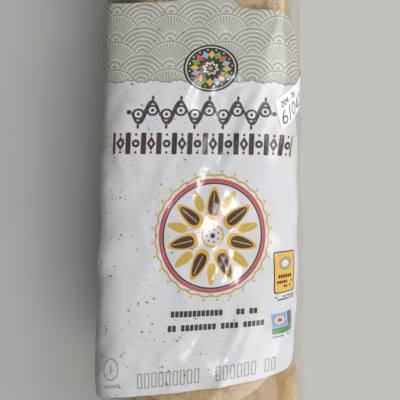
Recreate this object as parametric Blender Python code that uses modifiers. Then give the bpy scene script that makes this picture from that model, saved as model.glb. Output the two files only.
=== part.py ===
"""A clear printed bag of english muffins, lying on its back.

The bag holds six muffins in two layers of three, the upper layer slid half a muffin towards the
neck. The film is drawn round them, closed at one end and gathered at the other into a neck with a
plastic clip and a loose fan of film.
X runs across the pack, +Y towards the neck, and +Z up, out of the printed face.
The origin is the middle of the pack's flat underside, below the middle muffin of the lower layer.
Lengths are in metres.
"""

import functools
import math

import bmesh
import bpy
from mathutils import Vector

# The muffins that the film is drawn round
MUFFIN_RADIUS = 0.046
MUFFIN_THICKNESS = 0.0243
PITCH = 0.096  # from one muffin of a layer to the next
TOP_LAYER_ALONG = 0.0405  # how far the upper layer has slid towards the neck

# The filled part of the bag
FILM_CLEARANCE = 0.0020
HALF_WIDTH = MUFFIN_RADIUS + FILM_CLEARANCE
HEIGHT = 2 * MUFFIN_THICKNESS + 0.001
CLOSED_CENTRE = -PITCH
CLOSED_END = CLOSED_CENTRE - HALF_WIDTH
LEAN = 0.0073  # at mid length, the underside lies this far to the right and the face as far to the left
LEAN_CHANGE = -0.037  # what the lean gains for each metre towards the neck
BODY_POWER = 4.6  # squareness of a section through the muffins
RIGHT_SHOULDER_POWER = 3.7  # the same on the face's right, where the film slants down to the lower layer
LEFT_SHOULDER_POWER = 6.2  # the same on the face's left, where the upper layer fills the corner
LAYER_DENT = 0.0010  # how far the sides sink in between the layers
LAYER_DENT_SPREAD = 0.0050
PRESSED_FLAT = 0.0006  # how much of the rounded underside the weight presses flat
DISH_ALONG = TOP_LAYER_ALONG - PITCH / 2
DISH = 0.0030  # how far the face sinks there, between two muffins, at its sides
DISH_SPREAD = 0.013

# The closed end, where the film slopes down from the upper layer to the end of the lower one
SLOPE = 0.58
SLOPE_FOOT = 0.0185
SLOPE_SOFTNESS = 0.008
RIM_RADIUS = 0.0075
LEFT_END_POWER = 5.0  # a loose, square corner on the left
RIGHT_END_POWER = 2.5  # drawn close round the muffin on the right

# The gathered end
NECK_START, NECK_END = 0.213, 0.221
NECK_RADIUS = 0.0048
NECK_HEIGHT = 0.030
TOP_FALLS_FROM = 0.150
UNDERSIDE_RISES = (0.126, 0.190)
ROUND_FROM = 0.150  # where the square section starts to turn into the round neck
LEFT_CONE, RIGHT_CONE = 0.86, 0.70  # how fast each side closes in on the neck
LEFT_SHOULDER, RIGHT_SHOULDER = 0.009, 0.014  # how softly it turns in
PLEATS = 9
PLEAT_DEPTH = 0.0007
PLEATS_FROM = 0.184

# The loose film beyond the clip
TAIL_END = 0.264
TAIL_HALF_WIDTH = 0.034
TAIL_HALF_THICKNESS = 0.0011
TAIL_DROP = 0.011
TAIL_WAVES = 3.5
TAIL_WAVE_DEPTH = 0.0038

# How finely the bag is divided
AROUND = 72
OUTLINE_STEPS = 420

# The plastic clip round the neck
CLIP_Y = 0.217
CLIP_HALF_THICKNESS = 0.0005
CLIP_HOLE = 0.0060
CLIP_SLOT = 0.0017
CLIP_MOUTH = 0.0034
CLIP_HALF_WIDTH = 0.0105
CLIP_ABOVE, CLIP_BELOW = 0.0150, 0.0095
CLIP_CHAMFER = 0.0024
CLIP_TURN = math.radians(14)
CLIP_ARC_STEPS = 28

# The paper date label over the right shoulder, measured along the film
LABEL_ACROSS, LABEL_ALONG = 0.0535, 0.0565  # its middle
LABEL_LENGTH, LABEL_WIDTH = 0.0365, 0.0136
LABEL_TURN = math.radians(38)
LABEL_UPRIGHT = math.radians(104)  # the way its slanted ends run
LABEL_GAP = 0.0006
LABEL_THICKNESS = 0.0004
LABEL_CELLS = (16, 6)


def ease(share):
    """A smooth step from 0 to 1."""
    share = min(max(share, 0.0), 1.0)
    return share * share * (3 - 2 * share)


def soft_min(a, b, width):
    """The lower of two values, rounded off where they cross."""
    near = max(width - abs(a - b), 0.0) / width
    return min(a, b) - near * near * width / 4


def signed_power(value, power):
    return math.copysign(abs(value) ** power, value)


def side(y, end_power, cone, shoulder):
    """How far the film stands from the middle on one side, at y along the pack."""
    if y >= NECK_START:
        return NECK_RADIUS
    if y > CLOSED_CENTRE:
        return soft_min(HALF_WIDTH, NECK_RADIUS + cone * (NECK_START - y), shoulder)
    out = min((CLOSED_CENTRE - y) / HALF_WIDTH, 0.9995)
    return HALF_WIDTH * (1 - out**end_power) ** (1 / end_power)


def rim_drop(y):
    """How far the film has come round the rim of the last muffin at the closed end."""
    past = max(CLOSED_END + RIM_RADIUS - y, 0.0)
    return RIM_RADIUS - math.sqrt(max(RIM_RADIUS**2 - past**2, 0.0))


def top_height(y):
    slope = SLOPE_FOOT + SLOPE * (y - CLOSED_END)
    filled = soft_min(HEIGHT, slope, SLOPE_SOFTNESS) - rim_drop(y)
    fall = ease((y - TOP_FALLS_FROM) / (NECK_START - TOP_FALLS_FROM))
    return filled + (NECK_HEIGHT + NECK_RADIUS - filled) * fall


def underside_height(y):
    start, end = UNDERSIDE_RISES
    neck_underside = NECK_HEIGHT - NECK_RADIUS
    return (neck_underside + PRESSED_FLAT) * ease((y - start) / (end - start)) + rim_drop(y) - PRESSED_FLAT


def tail_share(y):
    return min(max((y - NECK_END) / (TAIL_END - NECK_END), 0.0), 1.0)


def tail_outline(y):
    """Half width, half thickness and middle height of the gathered film past the clip."""
    share = tail_share(y)
    spread = math.sin(share * math.pi / 2)
    half_width = NECK_RADIUS + (TAIL_HALF_WIDTH - NECK_RADIUS) * spread
    half_thickness = TAIL_HALF_THICKNESS + (NECK_RADIUS - TAIL_HALF_THICKNESS) * (1 - share) ** 5
    return half_width, half_thickness, NECK_HEIGHT - TAIL_DROP * share**1.5


def outline_point(angle, y):
    """A point of the section at y, before it is dented and pleated."""
    across, up = math.cos(angle), math.sin(angle)
    if y > NECK_END:
        half_width, half_height, middle = tail_outline(y)
        power = 2.0
        wave = TAIL_WAVE_DEPTH * ease(tail_share(y) * 1.4)
        lift = wave * math.sin(TAIL_WAVES * math.pi * across + 2.2 * tail_share(y))
    else:
        if across > 0:
            half_width = side(y, RIGHT_END_POWER, RIGHT_CONE, RIGHT_SHOULDER)
            shoulder_power = RIGHT_SHOULDER_POWER
        else:
            half_width = side(y, LEFT_END_POWER, LEFT_CONE, LEFT_SHOULDER)
            shoulder_power = LEFT_SHOULDER_POWER
        top, underside = top_height(y), underside_height(y)
        half_height, middle = (top - underside) / 2, (top + underside) / 2
        power = shoulder_power if up > 0 else BODY_POWER
        power += (2 - power) * ease((y - ROUND_FROM) / (NECK_START - ROUND_FROM))
        lift = 0.0
    x = half_width * signed_power(across, 2 / power)
    z = middle + half_height * signed_power(up, 2 / power) + lift
    return x, z


def dented(x, z, y):
    """Leans a point of a section with the layers, and moves it in between them and between the muffins."""
    filled = ease((NECK_START - y) / 0.03)
    above = (z - MUFFIN_THICKNESS) / LAYER_DENT_SPREAD
    at_side = ease((abs(x) / HALF_WIDTH - 0.5) / 0.3)
    x -= math.copysign(LAYER_DENT * filled * at_side * math.exp(-above * above), x)
    between = math.exp(-(((y - DISH_ALONG) / DISH_SPREAD) ** 2))
    on_face = ease((z / HEIGHT - 0.6) / 0.3)
    z -= DISH * between * on_face * min(abs(x) / HALF_WIDTH, 1.0) ** 2
    x += (LEAN + LEAN_CHANGE * y) * (1 - 2 * z / HEIGHT) * filled
    return x, max(z, 0.0)


@functools.lru_cache(maxsize=8)
def section(y, count=AROUND):
    """Points evenly spaced round the film, clockwise from the middle of the face, and the length round."""
    raw = []
    for step in range(OUTLINE_STEPS + 1):
        angle = math.pi / 2 - 2 * math.pi * step / OUTLINE_STEPS
        raw.append(dented(*outline_point(angle, y), y))
    along = [0.0]
    for (x0, z0), (x1, z1) in zip(raw, raw[1:]):
        along.append(along[-1] + math.hypot(x1 - x0, z1 - z0))
    points, step = [], 0
    for index in range(count):
        target = along[-1] * index / count
        while along[step + 1] < target:
            step += 1
        part = (target - along[step]) / max(along[step + 1] - along[step], 1e-9)
        points.append(
            (
                raw[step][0] + (raw[step + 1][0] - raw[step][0]) * part,
                raw[step][1] + (raw[step + 1][1] - raw[step][1]) * part,
            )
        )
    return points, along[-1]


def pleated(points, y):
    """The same section with the gathers that run into the neck."""
    if y <= PLEATS_FROM or y >= NECK_END + 0.012:
        return points
    depth = PLEAT_DEPTH * ease((y - PLEATS_FROM) / (NECK_START - PLEATS_FROM))
    depth *= 1 - ease((y - NECK_END) / 0.012)
    count = len(points)
    moved = []
    for index, (x, z) in enumerate(points):
        before, after = points[index - 1], points[(index + 1) % count]
        tangent = Vector((after[0] - before[0], after[1] - before[1])).normalized()
        ridge = depth * math.cos(2 * math.pi * PLEATS * index / count)
        moved.append((x - tangent[1] * ridge, max(z + tangent[0] * ridge, 0.0)))
    return moved


def spaced(start, end, count):
    return [start + (end - start) * step / count for step in range(count)]


def stations():
    """Where the bag's sections are taken, closer together where it turns."""
    end_length = CLOSED_CENTRE - CLOSED_END - 0.0006
    ys = [CLOSED_CENTRE - end_length * math.cos(math.pi / 2 * step / 13) for step in range(13)]
    ys += spaced(CLOSED_CENTRE, -0.070, 3)
    ys += spaced(-0.070, 0.126, 12)
    ys += spaced(0.126, NECK_START, 14)
    ys += spaced(NECK_START, NECK_END, 3)
    ys += spaced(NECK_END, TAIL_END, 9)
    ys.append(TAIL_END)
    return ys


def material(name, colour, roughness, alpha=1.0):
    made = bpy.data.materials.new(name)
    made.use_nodes = True
    shader = made.node_tree.nodes["Principled BSDF"]
    shader.inputs["Base Color"].default_value = (*colour, 1.0)
    shader.inputs["Roughness"].default_value = roughness
    shader.inputs["Metallic"].default_value = 0.0
    shader.inputs["Alpha"].default_value = alpha
    return made


def add_object(name, data, collection, finish):
    made = bpy.data.objects.new(name, data)
    data.materials.append(finish)
    collection.objects.link(made)
    return made


def make_bag(collection):
    """One closed solid lofted through the unlike sections of body, neck and tail."""
    work = bmesh.new()
    rings = []
    for y in stations():
        points, _ = section(y)
        rings.append([work.verts.new((x, y, z)) for x, z in pleated(points, y)])
    for ring, following in zip(rings, rings[1:]):
        for index in range(AROUND):
            after = (index + 1) % AROUND
            work.faces.new((ring[index], ring[after], following[after], following[index]))
    work.faces.new(rings[0][::-1])
    work.faces.new(rings[-1])
    bmesh.ops.triangulate(work, faces=list(work.faces))
    bmesh.ops.recalc_face_normals(work, faces=list(work.faces))
    mesh = bpy.data.meshes.new("bag")
    work.to_mesh(mesh)
    work.free()
    mesh.shade_smooth()
    mesh.set_sharp_from_angle(angle=math.radians(40))
    return add_object("bag", mesh, collection, material("printed film", (0.72, 0.73, 0.74), 0.25))


def clip_outline():
    """The clip's outline, with the neck's middle at the origin and its slot opening downwards."""
    slot_angle = math.asin(CLIP_SLOT / CLIP_HOLE)
    start, end = -math.pi / 2 + slot_angle, 3 * math.pi / 2 - slot_angle
    points = [(CLIP_MOUTH, -CLIP_BELOW)]
    for step in range(CLIP_ARC_STEPS + 1):
        angle = start + (end - start) * step / CLIP_ARC_STEPS
        points.append((CLIP_HOLE * math.cos(angle), CLIP_HOLE * math.sin(angle)))
    points.append((-CLIP_MOUTH, -CLIP_BELOW))
    wide, cut = CLIP_HALF_WIDTH, CLIP_CHAMFER
    left = [(-wide + cut, -CLIP_BELOW), (-wide, -CLIP_BELOW + cut)]
    left += [(-wide, CLIP_ABOVE - cut), (-wide + cut, CLIP_ABOVE)]
    return points + left + [(-x, y) for x, y in reversed(left)]


def make_clip(collection):
    """A flat plastic clip standing square to the neck."""
    curve = bpy.data.curves.new("clip", "CURVE")
    curve.dimensions = "2D"
    curve.fill_mode = "BOTH"
    curve.extrude = CLIP_HALF_THICKNESS
    outline = clip_outline()
    spline = curve.splines.new("POLY")
    spline.points.add(len(outline) - 1)
    for point, (x, y) in zip(spline.points, outline):
        point.co = (x, y, 0.0, 1.0)
    spline.use_cyclic_u = True
    clip = add_object("clip", curve, collection, material("clip plastic", (0.78, 0.80, 0.78), 0.4))
    clip.location = (0.0, CLIP_Y, NECK_HEIGHT)
    clip.rotation_euler = (math.pi / 2, CLIP_TURN, 0.0)
    return clip


def film_point(across, along):
    """The point that lies at a distance across the film from the middle of the face."""
    points, around = section(along, OUTLINE_STEPS)
    place = (across / around) % 1.0 * OUTLINE_STEPS
    index = int(place)
    (x0, z0), (x1, z1) = points[index], points[(index + 1) % OUTLINE_STEPS]
    part = place - index
    return Vector((x0 + (x1 - x0) * part, along, z0 + (z1 - z0) * part))


def film_frame(across, along):
    """A point of the film and its outward normal."""
    step = 0.0012
    here = film_point(across, along)
    to_right = film_point(across + step, along) - film_point(across - step, along)
    to_neck = film_point(across, along + step) - film_point(across, along - step)
    return here, to_right.cross(to_neck).normalized()


def make_date_label(collection):
    """A paper label with slanted ends that lies on the film, over the shoulder of the pack."""
    work = bmesh.new()
    columns, rows = LABEL_CELLS
    grid = []
    for row in range(rows + 1):
        line = []
        for column in range(columns + 1):
            length = LABEL_LENGTH * (column / columns - 0.5)
            width = LABEL_WIDTH * (row / rows - 0.5)
            across = LABEL_ACROSS + length * math.cos(LABEL_TURN) + width * math.cos(LABEL_UPRIGHT)
            along = LABEL_ALONG + length * math.sin(LABEL_TURN) + width * math.sin(LABEL_UPRIGHT)
            point, normal = film_frame(across, along)
            line.append(work.verts.new(point + normal * LABEL_GAP))
        grid.append(line)
    for low, high in zip(grid, grid[1:]):
        for column in range(columns):
            work.faces.new((low[column], low[column + 1], high[column + 1], high[column]))
    mesh = bpy.data.meshes.new("date_label")
    work.to_mesh(mesh)
    work.free()
    mesh.shade_smooth()
    label = add_object("date_label", mesh, collection, material("label paper", (0.86, 0.86, 0.86), 0.5))
    shell = label.modifiers.new("thickness", "SOLIDIFY")
    shell.thickness = LABEL_THICKNESS
    shell.offset = 1.0
    return label


def main():
    for old in list(bpy.data.objects):
        bpy.data.objects.remove(old)
    collection = bpy.data.collections.new("muffin bag")
    bpy.context.scene.collection.children.link(collection)
    make_bag(collection)
    make_clip(collection)
    make_date_label(collection)


main()
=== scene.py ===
"""The looks of a clear bag of english muffins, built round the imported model.

The CAD bag is a closed solid out to the film. Here it becomes thin clear film with a printed front,
over six muffins in two layers, with a paper date label and a plastic clip. Lengths are in metres,
and X runs across the pack, +Y towards the neck, +Z out of the printed face.
"""

import math
from functools import partialmethod

import bmesh
import bpy
import numpy as np
from mathutils import Euler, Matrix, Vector, noise


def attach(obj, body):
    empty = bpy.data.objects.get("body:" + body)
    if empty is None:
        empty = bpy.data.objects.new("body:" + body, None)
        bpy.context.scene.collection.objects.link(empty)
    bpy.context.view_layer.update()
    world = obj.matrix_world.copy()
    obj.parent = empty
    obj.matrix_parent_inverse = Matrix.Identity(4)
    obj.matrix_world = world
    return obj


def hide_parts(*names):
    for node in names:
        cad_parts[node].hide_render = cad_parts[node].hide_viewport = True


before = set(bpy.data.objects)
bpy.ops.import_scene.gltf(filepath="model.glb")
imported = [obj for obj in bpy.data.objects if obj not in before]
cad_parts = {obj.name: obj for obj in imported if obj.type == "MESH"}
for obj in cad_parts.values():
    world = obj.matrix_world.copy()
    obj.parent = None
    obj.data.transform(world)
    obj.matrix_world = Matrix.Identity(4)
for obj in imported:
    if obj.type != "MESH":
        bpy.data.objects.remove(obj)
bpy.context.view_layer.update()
scene = bpy.context.scene

# The film's form, as the CAD source has it
MUFFIN_RADIUS = 0.046
MUFFIN_THICKNESS = 0.0243
PITCH = 0.096
TOP_LAYER_ALONG = 0.0405
HALF_WIDTH = MUFFIN_RADIUS + 0.0020
HEIGHT = 2 * MUFFIN_THICKNESS + 0.001
CLOSED_CENTRE = -PITCH
CLOSED_END = CLOSED_CENTRE - HALF_WIDTH
LEAN, LEAN_CHANGE, LEAN_FADE = 0.0073, -0.037, 0.03
BODY_POWER, RIGHT_SHOULDER_POWER, LEFT_SHOULDER_POWER = 4.6, 3.7, 6.2
LAYER_DENT, LAYER_DENT_SPREAD = 0.0010, 0.0050
PRESSED_FLAT = 0.0006
DISH_ALONG = TOP_LAYER_ALONG - PITCH / 2
DISH, DISH_SPREAD = 0.0030, 0.013
SLOPE, SLOPE_FOOT, SLOPE_SOFTNESS = 0.58, 0.0185, 0.008
RIM_RADIUS = 0.0075
LEFT_END_POWER, RIGHT_END_POWER = 5.0, 2.5
NECK_START, NECK_END = 0.213, 0.221
NECK_RADIUS, NECK_HEIGHT = 0.0048, 0.030
TOP_FALLS_FROM = ROUND_FROM = 0.150
UNDERSIDE_RISES = (0.126, 0.190)
LEFT_CONE, RIGHT_CONE = 0.86, 0.70
LEFT_SHOULDER, RIGHT_SHOULDER = 0.009, 0.014
TAIL_END = 0.264
TAIL_HALF_WIDTH, TAIL_HALF_THICKNESS = 0.034, 0.0011
TAIL_DROP = 0.011

# The muffins inside the film: name, middle (X, Y, Z), tilt about X, turn about Z, noise seed.
BAKED_RADIUS, BAKED_THICKNESS = 0.0456, 0.0236
LOW, HIGH = 0.0007 + BAKED_THICKNESS / 2, 0.0010 + 1.5 * BAKED_THICKNESS
MUFFINS = (
    ("muffin_low_1", (0.0050, -0.0953, LOW), 0.0, 0.4, 21),
    ("muffin_low_2", (0.0032, 0.0002, LOW), 0.0, 2.1, 22),
    ("muffin_low_3", (0.0006, 0.0955, LOW), 0.0, 3.9, 23),
    ("muffin_high_1", (-0.0046, -0.0525, HIGH), 0.0, 5.2, 24),
    ("muffin_high_2", (-0.0034, 0.0405, HIGH), 0.0, 1.2, 25),
    ("muffin_high_3", (-0.0022, 0.1318, HIGH - 0.0006), -0.03, 2.9, 26),
)
MUFFIN_POWER = 3.3

# How finely the film is divided
FILM_AROUND = 264
OUTLINE_STEPS = 1440
RING_SPACING = 0.00135
END_RINGS, CONE_RINGS, NECK_RINGS, TAIL_RINGS = 30, 54, 8, 40
END_BLUNTNESS = 0.0006  # how far short of the closed end the first ring is

# The camera looks straight down. A photo pixel is this long at the printed face.
PIXEL = 0.00047
FRAME_PIXELS = 400
CAMERA_HEIGHT = 0.240
CAMERA_X, CAMERA_Y = -0.0034, 0.0052


def ease(value, start=0.0, end=1.0):
    """A smooth step from 0 to 1, as a value goes from a start to an end."""
    share = np.clip((value - start) / (end - start), 0.0, 1.0)
    return share * share * (3 - 2 * share)


def spaced(path, shares):
    """Points of a path at these shares of its length, and the length."""
    run = np.concatenate([[0], np.cumsum(np.linalg.norm(np.diff(path, axis=0), axis=1))])
    return np.stack([np.interp(shares * run[-1], run, column) for column in path.T], axis=-1), run[-1]


def unit(vectors):
    """Vectors brought to a length of one."""
    return vectors / np.maximum(np.linalg.norm(vectors, axis=-1, keepdims=True), 1e-12)


def relax(points):
    """Draws each point but the first and the last a little towards its neighbours."""
    points[1:-1] += 0.25 * (points[:-2] + points[2:] - 2 * points[1:-1])


def soft_min(a, b, width):
    """The lower of two values, rounded off where they cross."""
    near = np.maximum(width - np.abs(a - b), 0.0) / width
    return np.minimum(a, b) - near * near * width / 4


def side(y, end_power, cone, shoulder):
    """How far the film stands from the middle on one side, at y along the pack."""
    if y >= NECK_START:
        return NECK_RADIUS
    if y > CLOSED_CENTRE:
        return soft_min(HALF_WIDTH, NECK_RADIUS + cone * (NECK_START - y), shoulder)
    out = min((CLOSED_CENTRE - y) / HALF_WIDTH, 0.9995)
    return HALF_WIDTH * (1 - out**end_power) ** (1 / end_power)


def rim_drop(y):
    past = max(CLOSED_END + RIM_RADIUS - y, 0.0)
    return RIM_RADIUS - math.sqrt(max(RIM_RADIUS**2 - past**2, 0.0))


def top_height(y):
    slope = SLOPE_FOOT + SLOPE * (y - CLOSED_END)
    filled = soft_min(HEIGHT, slope, SLOPE_SOFTNESS) - rim_drop(y)
    return filled + (NECK_HEIGHT + NECK_RADIUS - filled) * ease(y, TOP_FALLS_FROM, NECK_START)


def underside_height(y):
    neck_underside = NECK_HEIGHT - NECK_RADIUS
    return (neck_underside + PRESSED_FLAT) * ease(y, *UNDERSIDE_RISES) + rim_drop(y) - PRESSED_FLAT


def signed_power(value, power):
    return np.sign(value) * np.abs(value) ** power


def outline(y):
    """The film's section at y, before it is wrinkled, as X and Z clockwise from the middle of the face."""
    angle = math.pi / 2 - np.linspace(0, math.tau, OUTLINE_STEPS + 1)
    across, up = np.cos(angle), np.sin(angle)
    if y > NECK_END:
        share = (y - NECK_END) / (TAIL_END - NECK_END)
        half_width = NECK_RADIUS + (TAIL_HALF_WIDTH - NECK_RADIUS) * math.sin(share * math.pi / 2)
        half_height = TAIL_HALF_THICKNESS + (NECK_RADIUS - TAIL_HALF_THICKNESS) * (1 - share) ** 5
        middle = NECK_HEIGHT - TAIL_DROP * share**1.5
        power = 2.0
    else:
        right = side(y, RIGHT_END_POWER, RIGHT_CONE, RIGHT_SHOULDER)
        left = side(y, LEFT_END_POWER, LEFT_CONE, LEFT_SHOULDER)
        half_width = np.where(across > 0, right, left)
        top, underside = top_height(y), underside_height(y)
        half_height, middle = (top - underside) / 2, (top + underside) / 2
        shoulder_power = np.where(across > 0, RIGHT_SHOULDER_POWER, LEFT_SHOULDER_POWER)
        power = np.where(up > 0, shoulder_power, BODY_POWER)
        power = power + (2 - power) * ease(y, ROUND_FROM, NECK_START)
    x = half_width * signed_power(across, 2 / power)
    z = middle + half_height * signed_power(up, 2 / power)
    filled = ease(y, NECK_START, NECK_START - LEAN_FADE)
    above = (z - MUFFIN_THICKNESS) / LAYER_DENT_SPREAD
    at_side = ease(np.abs(x) / HALF_WIDTH, 0.5, 0.8)
    x = x - np.sign(x) * LAYER_DENT * filled * at_side * np.exp(-above * above)
    between = math.exp(-(((y - DISH_ALONG) / DISH_SPREAD) ** 2))
    on_face = ease(z / HEIGHT, 0.6, 0.9)
    z = z - DISH * between * on_face * np.minimum(np.abs(x) / HALF_WIDTH, 1.0) ** 2
    x = x + (LEAN + LEAN_CHANGE * y) * (1 - 2 * z / HEIGHT) * filled
    return x, np.maximum(z, 0.0)


def film_stations():
    """Where along the pack the film's rings are, closer together where it turns."""
    end_length = CLOSED_CENTRE - CLOSED_END - END_BLUNTNESS
    closed = CLOSED_CENTRE - end_length * np.cos(math.pi / 2 * np.arange(END_RINGS) / END_RINGS)
    body = np.arange(CLOSED_CENTRE, ROUND_FROM, RING_SPACING)
    cone = np.linspace(ROUND_FROM, NECK_START, CONE_RINGS, endpoint=False)
    neck = np.linspace(NECK_START, NECK_END, NECK_RINGS, endpoint=False)
    tail = np.linspace(NECK_END, TAIL_END, TAIL_RINGS)
    return np.concatenate([closed, body, cone, neck, tail])


LATTICE = (97, 89)


def lattice_noise(u, v, seed):
    """Smooth noise from -1 to 1 on a plane, one value to each unit square."""
    rows, columns = LATTICE
    table = np.random.default_rng(seed).uniform(-1, 1, LATTICE)
    u0, v0 = np.floor(u).astype(int), np.floor(v).astype(int)
    fu, fv = ease(u - u0), ease(v - v0)

    def line(step):
        column = (v0 + step) % columns
        return table[u0 % rows, column] * (1 - fu) + table[(u0 + 1) % rows, column] * fu

    return line(0) * (1 - fv) + line(1) * fv


def turned(s, y, angle, across, along):
    """Film coordinates turned by an angle and measured in cells of a size."""
    c, n = math.cos(angle), math.sin(angle)
    return (s * c + y * n) / across, (y * c - s * n) / along


# Creases in the film: from and to (across, along), height, and half width, in millimetres
CREASES = (
    ((34, 64), (11, 15), 0.95, 2.1),
    ((31, 64), (6, 14), -0.6, 3),
    ((30, 56), (8, 56), -0.5, 3),
    ((14.5, 48), (28, 61), 0.9, 1.6),
    ((26, 3), (0, -38), 0.6, 2.3),
    ((16, -16.5), (25.5, -4.5), 0.6, 1.3),
    ((11, -13), (5.5, -38), 0.45, 1.2),
    ((3, -54), (-17, -77), 0.7, 1.6),
    ((24, -48), (19, -77), 0.7, 1.5),
    ((20, -73), (6, -98), 1.1, 1.8),
    ((20.5, -36), (19, -62), -0.5, 1.4),
    ((-31, 59), (-44, 40), -1, 3.6),
    ((-37, 26), (-48, 10), -0.85, 3.2),
    ((-38, -26), (-48, -43), -0.85, 3.4),
    ((-34, -56), (-46, -78), -0.8, 3),
    ((-14, -12), (-26, -45), 0.3, 4),
    ((-22, 42), (-10, 8), 0.28, 4.5),
    ((42, 10), (56, -7), -1, 3.4),
    ((42, -12), (56, -30), 0.6, 2.8),
    ((56, -4), (74, 16), 0.7, 2.6),
    ((56, -44), (76, -56), 0.7, 2.6),
    ((56, 42), (74, 24), 0.6, 2.4),
    ((44, -93), (66, -116), 1.1, 2.6),
    ((32, -86), (12, -124), 1.2, 2.4),
    ((6, -93), (-6, -130), 1.1, 2.2),
    ((44, -98), (27, -134), 1, 2.6),
    ((-16, -96), (-34, -126), 1, 2.4),
    ((-34, -101), (-54, -118), 1.2, 2.8),
    ((29, 88), (36, 140), 0.8, 2.2),
    ((40, 90), (43, 130), 0.7, 1.8),
    ((-20, 96), (-12, 150), 0.7, 2.2),
    ((4, 100), (5, 160), 0.5, 1.8),
    ((-42, 100), (-33, 156), 0.8, 2.4),
)
CREASE_BEND = 1.2

# Folds all over the film: the way they run, size across and along, height, and seed
FOLDS = (
    (-0.75, 0.022, 0.038, 0.00050, 2),
    (0.35, 0.010, 0.034, 0.00042, 3),
    (-0.45, 0.008, 0.026, 0.00034, 5),
    (0.10, 0.0042, 0.016, 0.00014, 7),
    (1.15, 0.0060, 0.020, 0.00016, 11),
)
SWELLS, SWELL_SIZE = 0.00035, 0.03

# Where the film is looser: along it past the end muffins, and round its sides
LOOSE_AT_NECK, LOOSE_AT_END, LOOSE_SIDES = (0.105, 0.155), (-0.088, -0.110), (0.052, 0.072)
# Where the neck's pleats start, tighten and end
PLEATS_START, PLEATS_TIGHTEN, PLEATS_END = (ROUND_FROM, 0.195), (0.192, NECK_START), (NECK_END, 0.235)
PLEAT_HEIGHT = 0.00075


def crease(s, y, start, end, height, width):
    """A soft ridge along a line that bends a little, fading towards its ends, in millimetres."""
    (s0, y0), (s1, y1) = start, end
    length = math.hypot(s1 - s0, y1 - y0)
    ts, ty = (s1 - s0) / length, (y1 - y0) / length
    along = ((s - s0) * ts + (y - y0) * ty) / length
    off = (s - s0) * ty - (y - y0) * ts + CREASE_BEND * np.sin(along * 5 + s0 * 0.3)
    taper = ease(along / 0.25) * ease((1 - along) / 0.35)
    return height * taper * np.exp(-((off / width) ** 2))


def wrinkles(s, y, around):
    """How far the film stands out from its smooth form."""
    loose = ease(y, *LOOSE_AT_NECK) + 1.5 * ease(y, *LOOSE_AT_END)
    free = 0.62 + 0.5 * ease(np.abs(s), *LOOSE_SIDES) + 0.6 * loose
    rise = sum(crease(s * 1000, y * 1000, *one) for one in CREASES) / 1000
    for angle, across, along, height, seed in FOLDS:
        fold = 1 - 2 * (lattice_noise(*turned(s, y, angle, across, along), seed) ** 2 + 0.01) ** 0.42
        rise = rise + height * free * fold
    rise = rise + SWELLS * lattice_noise(s / SWELL_SIZE, y / SWELL_SIZE, 13) * free
    gather = ease(y, *PLEATS_START) * (1 - ease(y, *PLEATS_END))
    tight = 1 - 0.62 * ease(y, *PLEATS_TIGHTEN)
    phase = math.tau * s / around
    pleats = (
        np.cos(9 * phase)
        + 0.7 * np.cos(14 * phase + 1.3 + 9 * (y - 0.2))
        + 0.5 * np.cos(23 * phase + 0.4 - 14 * (y - 0.2))
    )
    return rise * (1 - gather) + PLEAT_HEIGHT * gather * tight * pleats


CONTACT_HEIGHT, CONTACT_END = 0.0016, 0.14  # film below and before this lies on the table, smooth


def film_grid():
    """The film's points in rings along the pack, where the rings are, and the length round each."""
    ys = film_stations()
    points = np.empty((len(ys), FILM_AROUND, 3))
    lengths = np.empty((len(ys), 1))
    share = np.arange(FILM_AROUND) / FILM_AROUND
    for row, y in enumerate(ys):
        section, lengths[row] = spaced(np.stack(outline(y), axis=-1), share)
        points[row] = np.insert(section, 1, y, axis=1)
    across = (share - (share > 0.5)) * lengths
    along = points[:, :, 1]
    rise = wrinkles(across, along, lengths)
    on_table = (points[:, :, 2] < CONTACT_HEIGHT) & (along < CONTACT_END)
    rise = np.where(on_table, 0.25 * np.minimum(rise, 0.0), rise)
    points += grid_normals(points) * rise[:, :, None]
    for _ in range(4):
        push_out(points)
        relax(points)
        points += 0.25 * (np.roll(points, 1, axis=1) + np.roll(points, -1, axis=1) - 2 * points)
    ruffle_tail(points, across / lengths)
    points[:, :, 2] = np.maximum(points[:, :, 2], 0.0)
    return ys, points, lengths[:, 0]


FILM_OFF_MUFFIN = 0.0004
DEEPEST_FILM = 0.7  # share of the way out from a muffin's middle that film can cut in to


def push_out(points):
    """Moves film that would cut into a muffin out to just over its crust."""
    radius, half = BAKED_RADIUS + FILM_OFF_MUFFIN, BAKED_THICKNESS / 2 + FILM_OFF_MUFFIN
    for _, middle, tilt, _, _ in MUFFINS:
        from_middle = points - np.array(middle)
        x, y, z = np.moveaxis(from_middle, -1, 0)
        c, n = math.cos(tilt), math.sin(tilt)
        out = np.hypot(x, y * c + z * n) / radius
        up = np.abs(z * c - y * n) / half
        depth = (out**MUFFIN_POWER + up**MUFFIN_POWER) ** (1 / MUFFIN_POWER)
        inside = (depth < 1) & (depth > DEEPEST_FILM)
        scale = np.where(inside, 1 / np.maximum(depth, DEEPEST_FILM), 1.0)
        points += from_middle * (scale - 1)[:, :, None]


def ruffle_tail(points, round_share):
    """Ruffles the gathered film past the clip, deeper towards its uneven open edge."""
    share = np.clip((points[:, :, 1] - NECK_END) / (TAIL_END - NECK_END), 0.0, 1.0)
    reach = np.clip(points[:, :, 0] / TAIL_HALF_WIDTH, -1, 1)
    spread = ease(share * 1.6)
    phase = math.tau * round_share
    points[:, :, 0] += spread * 0.0016 * np.sin(17 * reach + 5 * share)
    points[:, :, 1] += ease(share, 0.5) * (
        0.0030 * np.sin(3 * phase + 0.7) + 0.0014 * np.sin(8 * phase) - 0.0030
    )
    points[:, :, 2] += spread * (
        0.0024 * np.sin(9 * reach + 2.2 * share)
        + 0.0015 * np.sin(26 * reach + 1.1 - 1.7 * share)
        + 0.0008 * np.sin(53 * reach + 0.6 + 1.3 * share)
    )


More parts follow.
